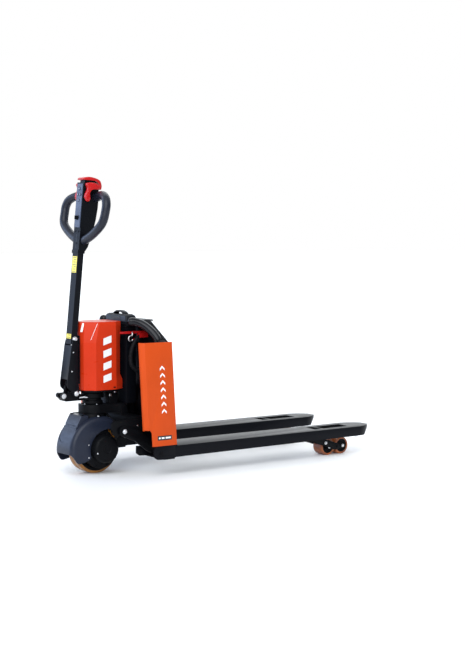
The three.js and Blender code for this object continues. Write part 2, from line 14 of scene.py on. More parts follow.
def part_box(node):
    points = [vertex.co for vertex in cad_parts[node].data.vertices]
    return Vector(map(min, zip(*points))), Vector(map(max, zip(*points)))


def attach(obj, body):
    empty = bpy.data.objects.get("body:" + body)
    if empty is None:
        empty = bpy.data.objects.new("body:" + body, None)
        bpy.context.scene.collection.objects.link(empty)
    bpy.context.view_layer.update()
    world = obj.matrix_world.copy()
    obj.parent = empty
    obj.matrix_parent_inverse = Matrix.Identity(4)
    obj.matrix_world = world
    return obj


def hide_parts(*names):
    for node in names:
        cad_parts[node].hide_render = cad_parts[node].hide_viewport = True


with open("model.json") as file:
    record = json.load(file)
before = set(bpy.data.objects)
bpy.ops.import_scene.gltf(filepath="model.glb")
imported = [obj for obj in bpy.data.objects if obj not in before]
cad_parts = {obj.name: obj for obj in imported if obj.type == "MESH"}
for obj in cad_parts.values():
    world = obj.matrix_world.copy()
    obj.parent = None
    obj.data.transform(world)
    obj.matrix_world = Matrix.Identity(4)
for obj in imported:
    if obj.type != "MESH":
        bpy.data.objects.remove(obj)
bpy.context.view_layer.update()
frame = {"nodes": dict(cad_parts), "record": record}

# ------------------------------------------------------------------ the shared frame
MM = 0.001
PRINT_THICK = 0.25
FORK_TIP = 1400.0
STEER_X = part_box("fork_right")[1].x - FORK_TIP * MM
FORK_Y = 201.5
SIDES = (("right", -1), ("left", 1))
ALONG_Y = (0, 1, 0)
TILLER_FOOT = (-97.5, 627.0)
TILLER_LEAN = math.radians(5.43)
PANEL_LEAN = math.tan(math.radians(3.4))
PANEL_FOOT_Z = 133.0
PANEL_FACE_Y = 278.1
AXLE = (0.0, 105.0)
NODE_BODY = {n: b for b, nodes in frame["record"]["behaviour"]["bodies"].items() for n in nodes}
NODE_SLOT = {s["node"]: s["material_slot"] for s in frame["record"]["subparts"]}


def at(x, y, z):
    """A point given in millimetres from the steering axis."""
    return Vector((STEER_X + x * MM, y * MM, z * MM))


def on_tiller(u, y, w):
    """A point given along the leaning tiller: u towards the forks, w up the tube."""
    c, s = math.cos(TILLER_LEAN), math.sin(TILLER_LEAN)
    return at(TILLER_FOOT[0] + u * c + w * s, y, TILLER_FOOT[1] - u * s + w * c)


def panel_x(x, z):
    """x at height z of a line that leans as the side panels do and is at x at their foot."""
    return x - (z - PANEL_FOOT_Z) * PANEL_LEAN


def mirrored(s, millimetres):
    """A push to one side of the centre plane: s is -1 for right, 1 for left."""
    return Vector((0, s * millimetres * MM, 0))


# ------------------------------------------------------------------ camera, light, floor
CAMERA_AT = (-3201.0, -5431.0, 1082.0)
CAMERA_YAW = math.radians(36.06)
CAMERA_DOWN = math.radians(3.88)
CAMERA_ROLL = math.radians(0.16)
CAMERA_LENS = 80.87
CLIP_END = 60.0
FLOOR_SIZE = 80.0
ROOM_LIGHT = 0.45
ROOM_TINT = (0.90, 0.95, 1.0, 1.0)
WHITE = (1.0, 1.0, 1.0, 1.0)
# name, where the light comes from, strength, spread in degrees, colour
SOFTBOXES = (
    ("key_softbox", (-0.70, -0.80, 0.75), 2.7, 60.0, (0.94, 0.97, 1.0)),
    ("top_softbox", (0.1, 0.2, 1.0), 1.1, 120.0, (0.95, 0.98, 1.0)),
    ("rim_softbox", (-0.62, 0.78, 0.22), 1.6, 45.0, (0.50, 0.66, 1.0)),
    ("back_softbox", (0.8, 0.9, 0.6), 0.9, 60.0, (0.95, 0.98, 1.0)),
)


def make_camera():
    """The viewing camera; its lens is in millimetres on a sensor 36 mm along the long side."""
    cam = bpy.data.cameras.new("camera")
    cam.lens = CAMERA_LENS
    cam.sensor_width = 36.0
    cam.clip_end = CLIP_END
    obj = bpy.data.objects.new("camera", cam)
    bpy.context.scene.collection.objects.link(obj)
    forward = Vector((math.sin(CAMERA_YAW) * math.cos(CAMERA_DOWN),
                      math.cos(CAMERA_YAW) * math.cos(CAMERA_DOWN), -math.sin(CAMERA_DOWN)))
    turn = forward.to_track_quat("-Z", "Y").to_matrix().to_4x4()
    obj.matrix_world = Matrix.Translation(at(*CAMERA_AT)) @ turn @ Matrix.Rotation(CAMERA_ROLL, 4, "Z")
    bpy.context.scene.camera = obj


def soft_sun(name, come_from, strength, spread, colour):
    """A far softbox: light that comes from a direction, spread over an angle in degrees."""
    light = bpy.data.lights.new(name, "SUN")
    light.energy = strength
    light.angle = math.radians(spread)
    light.color = colour
    obj = bpy.data.objects.new(name, light)
    bpy.context.scene.collection.objects.link(obj)
    obj.rotation_euler = Vector(come_from).to_track_quat("Z", "Y").to_euler()


def make_world():
    """White to look at, dimmer as a light, so that black parts stay black."""
    world = bpy.data.worlds.new("studio")
    bpy.context.scene.world = world
    world.use_nodes = True
    tree = world.node_tree
    background = tree.nodes["Background"]
    background.inputs["Color"].default_value = ROOM_TINT
    background.inputs["Strength"].default_value = ROOM_LIGHT
    seen = tree.nodes.new("ShaderNodeBackground")
    seen.inputs["Strength"].default_value = 1.0
    seen.inputs["Color"].default_value = WHITE
    ray = tree.nodes.new("ShaderNodeLightPath")
    mix = tree.nodes.new("ShaderNodeMixShader")
    tree.links.new(ray.outputs["Is Camera Ray"], mix.inputs["Fac"])
    tree.links.new(background.outputs["Background"], mix.inputs[1])
    tree.links.new(seen.outputs["Background"], mix.inputs[2])
    tree.links.new(mix.outputs["Shader"], tree.nodes["World Output"].inputs["Surface"])


def make_stage():
    """World, softboxes and a pale floor."""
    bpy.context.scene.view_settings.view_transform = "Standard"
    make_world()
    for softbox in SOFTBOXES:
        soft_sun(*softbox)
    bpy.ops.mesh.primitive_plane_add(size=FLOOR_SIZE, location=(0, 0, 0))
    floor = bpy.context.object
    floor.name = "studio_floor"
    floor.data.materials.append(floor_material())


# ------------------------------------------------------------------ materials
MATERIALS = {}


class Nodes:
    """A short way to write a material's node tree."""

    def __init__(self, name):
        self.material = bpy.data.materials.new(name)
        self.material.use_nodes = True
        self.tree = self.material.node_tree
        self.shader = self.tree.nodes["Principled BSDF"]
        self.place = self.add("ShaderNodeTexCoord").outputs["Object"]

    def add(self, kind, **values):
        node = self.tree.nodes.new(kind)
        for key, value in values.items():
            setattr(node, key, value)
        return node

    def link(self, source, target):
        self.tree.links.new(source, target)

    def stretched(self, scale):
        mapping = self.add("ShaderNodeMapping")
        self.link(self.place, mapping.inputs["Vector"])
        mapping.inputs["Scale"].default_value = scale
        return mapping.outputs["Vector"]

    def noise(self, scale, detail=3.0, roughness=0.55, vector=None):
        node = self.add("ShaderNodeTexNoise")
        self.link(vector or self.place, node.inputs["Vector"])
        node.inputs["Scale"].default_value = scale
        node.inputs["Detail"].default_value = detail
        node.inputs["Roughness"].default_value = roughness
        return node.outputs["Fac"]

    def cells(self, scale):
        node = self.add("ShaderNodeTexVoronoi")
        self.link(self.place, node.inputs["Vector"])
        node.inputs["Scale"].default_value = scale
        return node.outputs["Distance"]

    def spread(self, value, low, high, start=0.3, end=0.7):
        node = self.add("ShaderNodeMapRange")
        self.link(value, node.inputs["Value"])
        for key, number in (("From Min", start), ("From Max", end), ("To Min", low), ("To Max", high)):
            node.inputs[key].default_value = number
        return node.outputs["Result"]

    def mix(self, factor, first, second):
        node = self.add("ShaderNodeMix", data_type="RGBA")
        self.link(factor, node.inputs["Factor"])
        for socket, colour in ((node.inputs["A"], first), (node.inputs["B"], second)):
            if isinstance(colour, tuple):
                socket.default_value = (*colour, 1.0)
            else:
                self.link(colour, socket)
        return node.outputs["Result"]

    def bump(self, height, strength, distance=0.0004, after=None):
        node = self.add("ShaderNodeBump")
        self.link(height, node.inputs["Height"])
        node.inputs["Strength"].default_value = strength
        node.inputs["Distance"].default_value = distance
        if after is not None:
            self.link(after, node.inputs["Normal"])
        self.link(node.outputs["Normal"], self.shader.inputs["Normal"])
        return node.outputs["Normal"]

    def mottled(self, scale, detail, colour, mottle):
        """The colour, a little darker and lighter in soft clouds."""
        cloud = self.spread(self.noise(scale, detail), 0.0, 1.0)
        return self.mix(cloud, shade(colour, 1.0 - mottle), shade(colour, 1.0 + mottle))

    def feed(self, socket, source):
        self.link(source, self.shader.inputs[socket])

    def set(self, **values):
        for key, value in values.items():
            self.shader.inputs[key.replace("_", " ")].default_value = value


def shade(colour, by):
    """A colour made darker or lighter."""
    return tuple(min(1.0, c * by) for c in colour)


def coated(name, colour, rough, grain, grain_bump, mottle=0.12, coat=0.0, gloss=0.5):
    """Paint, plastic or rubber: a mottled colour, uneven gloss and a grained surface."""
    n = Nodes(name)
    n.feed("Base Color", n.mottled(9.0, 4.0, colour, mottle))
    n.feed("Roughness", n.spread(n.noise(38.0, 5.0), *rough))
    n.bump(n.noise(grain, 2.0), grain_bump)
    n.set(Specular_IOR_Level=gloss)
    if coat:
        n.set(Coat_Weight=coat, Coat_Roughness=0.12)
    MATERIALS[name] = n.material


def moulded(name, colour, rough, grain, grain_bump, mottle=0.08, gloss=0.5):
    """Grained plastic: small cells as from an etched mould."""
    n = Nodes(name)
    n.feed("Base Color", n.mottled(12.0, 3.0, colour, mottle))
    n.feed("Roughness", n.spread(n.noise(60.0, 4.0), *rough))
    n.bump(n.cells(grain), grain_bump, 0.0003)
    n.set(Specular_IOR_Level=gloss)
    MATERIALS[name] = n.material


def metal(name, colour, rough, stretch, scale):
    """Bright metal with fine lines along one direction."""
    n = Nodes(name)
    lines = n.noise(scale, 4.0, 0.6, n.stretched(stretch))
    n.feed("Base Color", n.mix(n.spread(lines, 0.0, 1.0), shade(colour, 0.82), colour))
    n.feed("Roughness", n.spread(lines, *rough))
    n.bump(lines, 0.12, 0.0002)
    n.set(Metallic=1.0)
    MATERIALS[name] = n.material


def rubbed_steel():
    """Black powder coat that pallets have rubbed: long faint scratches along the forks."""
    bare = (0.03, 0.032, 0.038)
    n = Nodes("steel_black")
    base = n.mottled(3.0, 2.0, (0.0040, 0.0045, 0.0065), 0.08)
    scratches = n.noise(90.0, 3.0, 0.7, n.stretched((0.05, 1.0, 0.6)))
    worn = n.spread(scratches, 0.0, 0.16, 0.62, 0.85)
    n.set(Specular_IOR_Level=0.09)
    n.feed("Base Color", n.mix(worn, base, bare))
    n.feed("Roughness", n.spread(n.noise(60.0, 3.0), 0.33, 0.39))
    fine = n.bump(n.noise(700.0, 2.0), 0.10)
    n.bump(scratches, 0.05, 0.0003, fine)
    MATERIALS["steel_black"] = n.material


def tyre_material(name, colour, dark):
    """Polyurethane: waxy, a little translucent, scuffed and dusty on the tread."""
    n = Nodes(name)
    scuff = n.noise(30.0, 6.0, 0.65, n.stretched((1.0, 0.35, 1.0)))
    n.feed("Base Color", n.mix(n.spread(scuff, 0.0, 1.0, 0.35, 0.7), dark, colour))
    n.feed("Roughness", n.spread(scuff, 0.42, 0.26))
    n.bump(scuff, 0.12, 0.0004)
    n.set(Subsurface_Weight=0.12, Subsurface_Scale=0.004, Coat_Weight=0.15, Coat_Roughness=0.2)
    MATERIALS[name] = n.material


def floor_material():
    """A nearly even pale floor."""
    n = Nodes("studio_floor")
    n.feed("Base Color", n.mix(n.spread(n.noise(1.5), 0.0, 1.0), (0.93, 0.93, 0.935), (0.95, 0.95, 0.955)))
    n.set(Roughness=0.55)
    return n.material


def make_materials():
    """Linear colours, then roughness range, grain and its depth."""
    rubbed_steel()
    coated("cast_black", (0.0030, 0.0033, 0.0043), (0.36, 0.5), 420.0, 0.35, gloss=0.08)
    coated("gloss_black", (0.004, 0.0045, 0.007), (0.16, 0.26), 900.0, 0.05, coat=0.1, gloss=0.25)
    moulded("plastic_black", (0.0030, 0.0036, 0.0055), (0.3, 0.44), 1500.0, 0.25, gloss=0.09)
    moulded("battery_plastic", (0.006, 0.0075, 0.0115), (0.3, 0.42), 1200.0, 0.3, gloss=0.22)
    moulded("fender_grey", (0.0125, 0.0165, 0.031), (0.28, 0.4), 1300.0, 0.22, gloss=0.26)
    coated("cover_orange", (0.52, 0.030, 0.0065), (0.26, 0.36), 650.0, 0.05, 0.05, gloss=0.12)
    coated("panel_orange", (0.54, 0.064, 0.009), (0.34, 0.44), 800.0, 0.12, 0.04, gloss=0.1)
    coated("control_red", (0.46, 0.008, 0.009), (0.22, 0.32), 700.0, 0.05, 0.08, gloss=0.3)
    moulded("grip_rubber", (0.009, 0.0115, 0.021), (0.3, 0.42), 1800.0, 0.35, gloss=0.3)
    moulded("panel_grey", (0.060, 0.076, 0.125), (0.34, 0.46), 1600.0, 0.15, gloss=0.35)
    tyre_material("drive_tyre", (0.36, 0.145, 0.012), (0.16, 0.058, 0.008))
    tyre_material("roller_tyre", (0.40, 0.10, 0.012), (0.19, 0.048, 0.012))
    metal("zinc", (0.74, 0.75, 0.77), (0.2, 0.38), (1.0, 1.0, 1.0), 260.0)
    metal("chrome_rod", (0.80, 0.81, 0.83), (0.06, 0.14), (1.0, 1.0, 0.1), 300.0)
    coated("label_yellow", (0.80, 0.66, 0.05), (0.3, 0.4), 500.0, 0.04, 0.06)
    coated("label_black", (0.012, 0.012, 0.013), (0.25, 0.35), 500.0, 0.04)
    coated("print_white", (0.84, 0.85, 0.86), (0.3, 0.4), 600.0, 0.05, 0.04)
    moulded("button_grey", (0.085, 0.105, 0.165), (0.3, 0.42), 1400.0, 0.15, gloss=0.3)
    moulded("cable_black", (0.006, 0.0065, 0.008), (0.5, 0.62), 900.0, 0.3, gloss=0.1)


# ------------------------------------------------------------------ mesh tools
def smooth_over(mesh, angle):
    """Smooth shading that breaks where the surface folds more than an angle in degrees."""
    mesh.polygons.foreach_set("use_smooth", [True] * len(mesh.polygons))
    mesh.set_sharp_from_angle(angle=math.radians(angle))


def finish_mesh(name, bm, material, body, replaces=(), angle=35.0):
    """A bmesh in the frame's metres becomes a piece that rides on a body."""
    bmesh.ops.recalc_face_normals(bm, faces=bm.faces)
    mesh = bpy.data.meshes.new(name)
    bm.to_mesh(mesh)
    bm.free()
    smooth_over(mesh, angle)
    obj = bpy.data.objects.new(name, mesh)
    bpy.context.scene.collection.objects.link(obj)
    mesh.materials.append(MATERIALS[material])
    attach(obj, body)
    if replaces:
        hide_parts(*replaces)
    return obj


def bevelled(bm, width, segments=2, over=28.0):
    """Rounds the edges that fold more than an angle; width in millimetres."""
    edges = [e for e in bm.edges if len(e.link_faces) == 2 and e.calc_face_angle(0.0) > math.radians(over)]
    if edges and width > 0:
        bmesh.ops.bevel(bm, geom=edges, offset=width * MM, segments=segments, profile=0.5,
                        affect="EDGES", clamp_overlap=True)


def refined(node, width=1.5, segments=2, material=None, over=28.0):
    """A CAD node's own shape, cleaned to flat faces and given rounded edges."""
    bm = bmesh.new()
    bm.from_mesh(frame["nodes"][node].data)
    bmesh.ops.remove_doubles(bm, verts=bm.verts, dist=0.02 * MM)
    bmesh.ops.dissolve_limit(bm, angle_limit=math.radians(0.6), verts=bm.verts, edges=bm.edges)
    bevelled(bm, width, segments, over)
    slot = NODE_SLOT[node]
    finish_mesh(node + "_body", bm, material or slot, NODE_BODY[node], (node,))


def ring_mesh(bm, rings):
    """Skins rings of points and caps both ends; each ring is a list of Vectors of one length."""
    made = [[bm.verts.new(p) for p in ring] for ring in rings]
    count = len(made[0])
    for low, high in zip(made, made[1:]):
        for i in range(count):
            k = (i + 1) % count
            bm.faces.new((low[i], low[k], high[k], high[i]))
    bm.faces.new(list(reversed(made[0])))
    bm.faces.new(made[-1])


def circle_points(centre, side, other, radius, count):
    """Points round a centre, in the plane of two unit vectors; radius in millimetres."""
    turns = (2 * math.pi * k / count for k in range(count))
    return [centre + (side * math.cos(t) + other * math.sin(t)) * radius * MM for t in turns]


def turned(name, centre, axis, profile, material, body, segments=64, replaces=()):
    """A profile of (radius, along) in millimetres turned about an axis; radius 0 closes an end."""
    bm = bmesh.new()
    axis = Vector(axis).normalized()
    side = axis.orthogonal().normalized()
    other = axis.cross(side)
    rings = []
    for radius, along in profile:
        spot = centre + axis * along * MM
        if radius <= 1e-6:
            rings.append([bm.verts.new(spot)])
            continue
        rings.append([bm.verts.new(q) for q in circle_points(spot, side, other, radius, segments)])
    pairs = list(zip(rings, rings[1:]))
    if len(rings[0]) > 1 and len(rings[-1]) > 1:
        pairs.append((rings[-1], rings[0]))
    for low, high in pairs:
        for k in range(segments):
            a, b = low[k % len(low)], low[(k + 1) % len(low)]
            c, d = high[(k + 1) % len(high)], high[k % len(high)]
            bm.faces.new([v for i, v in enumerate((a, b, c, d)) if v not in (a, b, c, d)[:i]])
    return finish_mesh(name, bm, material, body, replaces)


def catmull_rom(p0, p1, p2, p3, steps):
    """Points of the smooth curve from p1 up to, and not including, p2."""
    made = []
    for k in range(steps):
        t = k / steps
        made.append(0.5 * (2 * p1 + (p2 - p0) * t + (2 * p0 - 5 * p1 + 4 * p2 - p3) * t * t
                           + (3 * p1 - p0 - 3 * p2 + p3) * t ** 3))
    return made


def smooth_path(points, steps):
    """An open smooth curve through given points."""
    pts = [Vector(p) for p in points]
    pts = [pts[0] * 2 - pts[1], *pts, pts[-1] * 2 - pts[-2]]
    made = []
    for i in range(1, len(pts) - 2):
        made += catmull_rom(*pts[i - 1:i + 3], steps)
    return made + [pts[-2]]


def smooth_outline(points, steps):
    """A closed smooth outline through flat given points."""
    count = len(points)
    made = []
    for i in range(count):
        made += catmull_rom(*(Vector(points[(i + k - 1) % count]) for k in range(4)), steps)
    return [(p.x, p.y) for p in made]


def swept(name, path, radius, material, body, replaces=(), sides=20, dome=False):
    """A round section carried along a path; radius may be a function of 0..1."""
    lengths = [0.0]
    for a, b in zip(path, path[1:]):
        lengths.append(lengths[-1] + (b - a).length)
    rings = []
    normal = (path[1] - path[0]).orthogonal().normalized()
    for i, p in enumerate(path):
        tangent = (path[min(i + 1, len(path) - 1)] - path[max(i - 1, 0)]).normalized()
        normal = (normal - tangent * normal.dot(tangent)).normalized()
        other = tangent.cross(normal)
        reach = radius(lengths[i] / lengths[-1]) if callable(radius) else radius
        rings.append(circle_points(p, normal, other, reach, sides))
    if dome:
        rings = domed(rings, path)
    bm = bmesh.new()
    ring_mesh(bm, rings)
    return finish_mesh(name, bm, material, body, replaces, 50.0)


def domed(rings, path):
    """Adds a rounded cap before the first ring and after the last one."""
    def cap(ring, centre, outward):
        reach = (ring[0] - centre).length
        return [[centre + (p - centre) * math.cos(t) + outward * reach * 0.6 * math.sin(t) for p in ring]
                for t in (math.radians(d) for d in (25, 50, 70, 84))]
    first = cap(rings[0], path[0], (path[0] - path[1]).normalized())
    last = cap(rings[-1], path[-1], (path[-1] - path[-2]).normalized())
    return list(reversed(first)) + rings + last


def slab(name, corners, depth, thick, material, body, width=0.0):
    """A flat outline of frame points, thickened along a direction by thick millimetres."""
    bm = bmesh.new()
    push = Vector(depth).normalized() * thick * MM
    ring_mesh(bm, [list(corners), [p + push for p in corners]])
    bevelled(bm, width)
    finish_mesh(name, bm, material, body)


def rounded_box(name, low, high, material, body, width, replaces=(), place=at, segments=2):
    """A box between two corners in millimetres, in the steering or the tiller frame."""
    bm = bmesh.new()
    x0, y0, z0 = low
    x1, y1, z1 = high
    rings = [[place(x0, y0, z), place(x1, y0, z), place(x1, y1, z), place(x0, y1, z)] for z in (z0, z1)]
    ring_mesh(bm, rings)
    bevelled(bm, width, segments)
    finish_mesh(name, bm, material, body, replaces)


def arc_points(cx, cz, radius, start, end, steps):
    """Flat points of an arc between two angles in degrees."""
    turns = [math.radians(start + (end - start) * k / steps) for k in range(steps + 1)]
    return [(cx + radius * math.cos(t), cz + radius * math.sin(t)) for t in turns]


# ------------------------------------------------------------------ fasteners and prints
def hex_bolt(name, place, direction, across, body, head=5.0, material="zinc", washer=True):
    """A hexagon head on a washer."""
    direction = Vector(direction).normalized()
    if washer:
        ring = [(0, 0), (across * 0.95, 0), (across * 0.95, 1.2), (across * 0.85, 1.6), (0, 1.6)]
        turned(name + "_washer", place, direction, ring, material, body, 24)
    radius = across * 0.62
    bm = bmesh.new()
    side = direction.orthogonal().normalized()
    other = direction.cross(side)
    base = place + direction * 1.4 * MM
    levels = ((0, radius), (head * 0.8, radius), (head, radius * 0.86))
    ring_mesh(bm, [circle_points(base + direction * along * MM, side, other, r, 6) for along, r in levels])
    bevelled(bm, 0.4, 1)
    finish_mesh(name, bm, material, body)


def cap_bolt(name, place, direction, radius, body, height=5.0, material="zinc"):
    """A round socket-head screw with its recess."""
    profile = [(0, height - radius * 0.6), (radius * 0.45, height - radius * 0.6), (radius * 0.5, height),
               (radius * 0.85, height), (radius, height - radius * 0.2), (radius, 0), (0, 0)]
    turned(name, place, direction, profile, material, body, 28)


def domed_head(flange, head, height, flange_thick=1.6, step=0.2):
    """The profile of a round bolt head with a flange, in millimetres."""
    return [(0, 0), (flange, 0), (flange, flange_thick), (head, flange_thick + step), (head, height - 1.5),
            (head - 1.5, height), (0, height)]


def print_shape(name, outline, place, material, body, normal):
    """A thin printed film; place turns an outline point into the frame."""
    slab(name, [place(a, b) for a, b in outline], normal, PRINT_THICK, material, body, 0.0)


def chevron(cx, cy, half, arm, thick):
    """An arrowhead outline that points up, about its centre."""
    return [(cx - half, cy - arm), (cx, cy), (cx + half, cy - arm), (cx + half, cy - arm + thick),
            (cx, cy + thick), (cx - half, cy - arm + thick)]


# ------------------------------------------------------------------ drive wheel and fender
def both_ends(half):
    """A whole turned profile from its half: (radius, along) mirrored to the other end."""
    return [(r, -y) for r, y in reversed(half)] + list(half)


def make_drive():
    """The tyre, its rim and the five wheel bolts."""
    centre = at(AXLE[0], 0.0, AXLE[1])
    tread = [(94, -35), (99, -35), (102.4, -34), (104.4, -31.5), (105, -27), (105, -1.2), (104.3, 0),
             (105, 1.2), (105, 27), (104.4, 31.5), (102.4, 34), (99, 35), (94, 35)]
    turned("drive_tyre_body", centre, ALONG_Y, tread, "drive_tyre", "drive_wheel", 128,
           replaces=("drive_tyre",))
    rim = [(26, -18), (54, -18), (60, -19.5), (74, -28), (80, -33), (84, -34), (93.7, -34), (93.7, 34),
           (84, 34), (76, 20), (26, 20)]
    turned("drive_rim_body", centre, ALONG_Y, rim, "cast_black", "drive_wheel", 96, replaces=("drive_rim",))
    rim_face, bolt_circle, bolts = 20, 44, 5
    for k in range(bolts):
        spot = on_circle(AXLE[0], rim_face, bolt_circle, (k + 0.5) / bolts)
        hex_bolt(f"rim_bolt_{k}", spot, ALONG_Y, 8.5, "drive_wheel")


def on_circle(x, y, radius, turn):
    """A point on an upright circle about the axle's height; turn runs 0..1."""
    t = 2 * math.pi * turn
    return at(x + radius * math.cos(t), y, AXLE[1] + radius * math.sin(t))


def combine(obj, *cutters, operation="DIFFERENCE"):
    """Cuts or joins a piece with helper objects and removes them."""
    for cutter in cutters:
        mod = obj.modifiers.new("cut", "BOOLEAN")
        mod.operation = operation
        mod.solver = "EXACT"
        mod.object = cutter
        with bpy.context.temp_override(object=obj, active_object=obj):
            bpy.ops.object.modifier_apply(modifier=mod.name)
        bpy.data.objects.remove(cutter)


def helper(bm):
    """A mesh used only to cut with."""
    bmesh.ops.recalc_face_normals(bm, faces=bm.faces)
    mesh = bpy.data.meshes.new("helper")
    bm.to_mesh(mesh)
    bm.free()
    obj = bpy.data.objects.new("helper", mesh)
    bpy.context.scene.collection.objects.link(obj)
    return obj


def prism(outline, push, place):
    """A helper prism: outline points put in place and pushed along a vector in millimetres."""
    bm = bmesh.new()
    base = [place(a, b) for a, b in outline]
    ring_mesh(bm, [base, [p + Vector(push) * MM for p in base]])
    return helper(bm)


def helper_turned(centre, axis, profile, segments):
    """A turned helper, which rides on nothing."""
    obj = turned("helper_turned", centre, axis, profile, "cast_black", "chassis", segments)
    obj.parent = None
    return obj


FENDER_R = 147
# half of the shell's outer and inner profile: radius from the axle, half width
FENDER_OUTER = ((147, 48), (146.4, 56), (143.5, 64), (139, 70), (133, 73.6), (126, 75), (0, 75))
FENDER_INNER = ((143.4, 46), (143, 54), (140.5, 61), (137, 66), (132, 69.6), (125, 71.5), (0, 71.5))
# side views (x, z): the part of the shell that is kept, and the raised crown
FENDER_KEEP = ((-160, 256), (60, 256), (60, 190), (-30, 100), (-58, 68), (-80, 59), (-104, 54.5),
               (-113, 54), (-121, 60), (-132, 76), (-142, 92), (-160, 98))
CROWN = ((-129.5, 170), (-128.7, 176), (-86, 254), (-82, 257.5), (-52, 257.5), (-52, 200), (-100, 180))
CROWN_HALF = 52
# front views (y, z): the arch over the tyre, the groove, and half of the sunk shield
FENDER_ARCH = ((-58, 20), (-60, 78), (-52, 87), (52, 87), (60, 78), (58, 20))
GROOVE = ((-56, 211), (-56, 216), (56, 216), (56, 211))
SHIELD_HALF = ((16, 139.5), (34, 144), (47, 153), (54, 165), (57, 180), (55, 198), (50, 206))
SHIELD_DEPTH = 1.9
GROOVE_DEPTH = 2.6


def side_prism(outline, half=80):
    """A helper with a side view of (x, z), as wide as half on each side of the centre plane."""
    return prism(outline, (0, 2 * half, 0), lambda x, z: at(x, -half, z))


def front_prism(outline, start, length):
    """A helper with a front view of (y, z), running back from x = start."""
    return prism(outline, (length, 0, 0), lambda y, z: at(start, y, z))


def fender_skin(depth):
    """Everything in front of a surface that lies a depth under the fender's front."""
    curve = arc_points(AXLE[0], AXLE[1], FENDER_R - depth, 205, 151.1, 14)
    crown_top = (-84 + 0.876 * depth, 257 - 0.483 * depth)
    return side_prism(curve + [crown_top, (-200, 258), (-200, 40)])


def make_fender():
    """The wheel's shell: turned, hollowed, cut to shape, with crown, groove and shield."""
    centre = at(AXLE[0], 0.0, AXLE[1])
    outer, inner = both_ends(FENDER_OUTER), both_ends(FENDER_INNER)
    fender = turned("drive_fender_body", centre, ALONG_Y, outer, "fender_grey", "steer", 128)
    hollow = helper_turned(centre, ALONG_Y, inner, 128)
    keep = side_prism(FENDER_KEEP)
    opening = helper_turned(at(36, 0, AXLE[1]), ALONG_Y, [(0, -90), (90, -90), (90, 90), (0, 90)], 96)
    arch = front_prism(FENDER_ARCH, -180, 120)
    neck = helper_turned(at(0, 0, 240), (0, 0, 1), [(0, -26), (61, -26), (61, 40), (0, 40)], 64)
    combine(fender, hollow)
    combine(fender, keep, operation="INTERSECT")
    combine(fender, opening, arch, neck)
    combine(fender, side_prism(CROWN, CROWN_HALF), operation="UNION")
    shield_outline = [(-y, z) for y, z in reversed(SHIELD_HALF)] + list(SHIELD_HALF)
    shield = front_prism(shield_outline, -190, 130)
    groove = front_prism(GROOVE, -190, 130)
    for cutter, depth in ((shield, SHIELD_DEPTH), (groove, GROOVE_DEPTH)):
        combine(cutter, fender_skin(depth), operation="INTERSECT")
    combine(fender, shield, groove)
    smooth_over(fender.data, 28)
    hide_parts("drive_fender")
    for name, s in SIDES:
        y = s * 44
        low, high = (-84, y - 5, 250), (-72, y + 5, 261)
        rounded_box(f"fender_clip_{name}", low, high, "plastic_black", "steer", 1.2)
    cap_bolt("fender_screw_top", at(-8, -62, 252), (0, -0.3, 1), 5, "steer", 4)


def make_gearbox():
    """The steered parts round the wheel, with the motor's cap, its bolts and its cable."""
    refined("yoke", 2.0)
    refined("gearbox", 2.5)
    refined("steering_head", 1.2)
    refined("tiller_bracket", 2.0)
    hub = at(10, -112, 112)
    near = (0, -1, 0)
    cap = [(0, 2), (16, 2), (18, 0), (46, 0), (52, 1.5), (56.5, 5), (59.5, 11), (61, 18), (61, 41.7),
           (0, 41.7)]
    turned("motor_cap_body", hub, ALONG_Y, cap, "cast_black", "steer", 72, replaces=("drive_motor",))
    screws, screw_circle = 6, 52
    for k in range(screws):
        t = 2 * math.pi * (k + 0.25) / screws
        spot = hub + Vector((math.cos(t) * screw_circle, 2.5, math.sin(t) * screw_circle)) * MM
        cap_bolt(f"motor_screw_{k}", spot, near, 3.4, "steer", 3.4, "zinc" if k == 3 else "cast_black")
    bolts, bolt_circle = 8, 72
    for k in range(bolts):
        spot = on_circle(4, -70, bolt_circle, (k + 0.5) / bolts)
        hex_bolt(f"gearbox_bolt_{k}", spot, near, 6, "steer", 4, "zinc" if k in (3, 4) else "cast_black")
    route = ((52, -92, 150), (74, -88, 168), (80, -66, 200), (64, -46, 236), (50, -34, 258))
    cable = smooth_path([at(*q) for q in route], 8)
    swept("motor_cable", cable, 5.0, "cable_black", "steer")
    gland = [(0, 0), (8, 0), (8, 8), (6.5, 12), (0, 12)]
    turned("cable_gland", at(48, -93, 144), (0.5, -0.1, 0.85), gland, "plastic_black", "steer", 24)


# ------------------------------------------------------------------ chassis and cover
def make_chassis():
    """Casting, tray, cylinder, pump and controller, with their bolts."""
    refined("chassis_casting", 2.5)
    refined("cover_tray", 1.0)
    refined("lift_cylinder", 1.0)
    refined("pump_unit", 2.0)
    refined("controller_box", 2.0)
    for name, s in SIDES:
        hex_bolt(f"cheek_bolt_{name}", at(120, s * 176.6, 216), (0, s, 0), 7, "chassis", 1.4, washer=False)
    for k, (x, y, z) in enumerate(((64, -45, 340), (88, -45, 352), (64, 45, 340), (88, 45, 352))):
        hex_bolt(f"post_bolt_{k}", at(x, y, z), (0, math.copysign(1, y), 0), 7, "chassis", 4.5)
    ring_circle, ring_top = 52, 301
    for k, angle in enumerate((100, 160, 200, 260)):
        t = math.radians(angle)
        spot = at(ring_circle * math.cos(t), ring_circle * math.sin(t), ring_top)
        hex_bolt(f"ring_bolt_{k}", spot, (0, 0, 1), 4.5, "chassis", 3, washer=False)


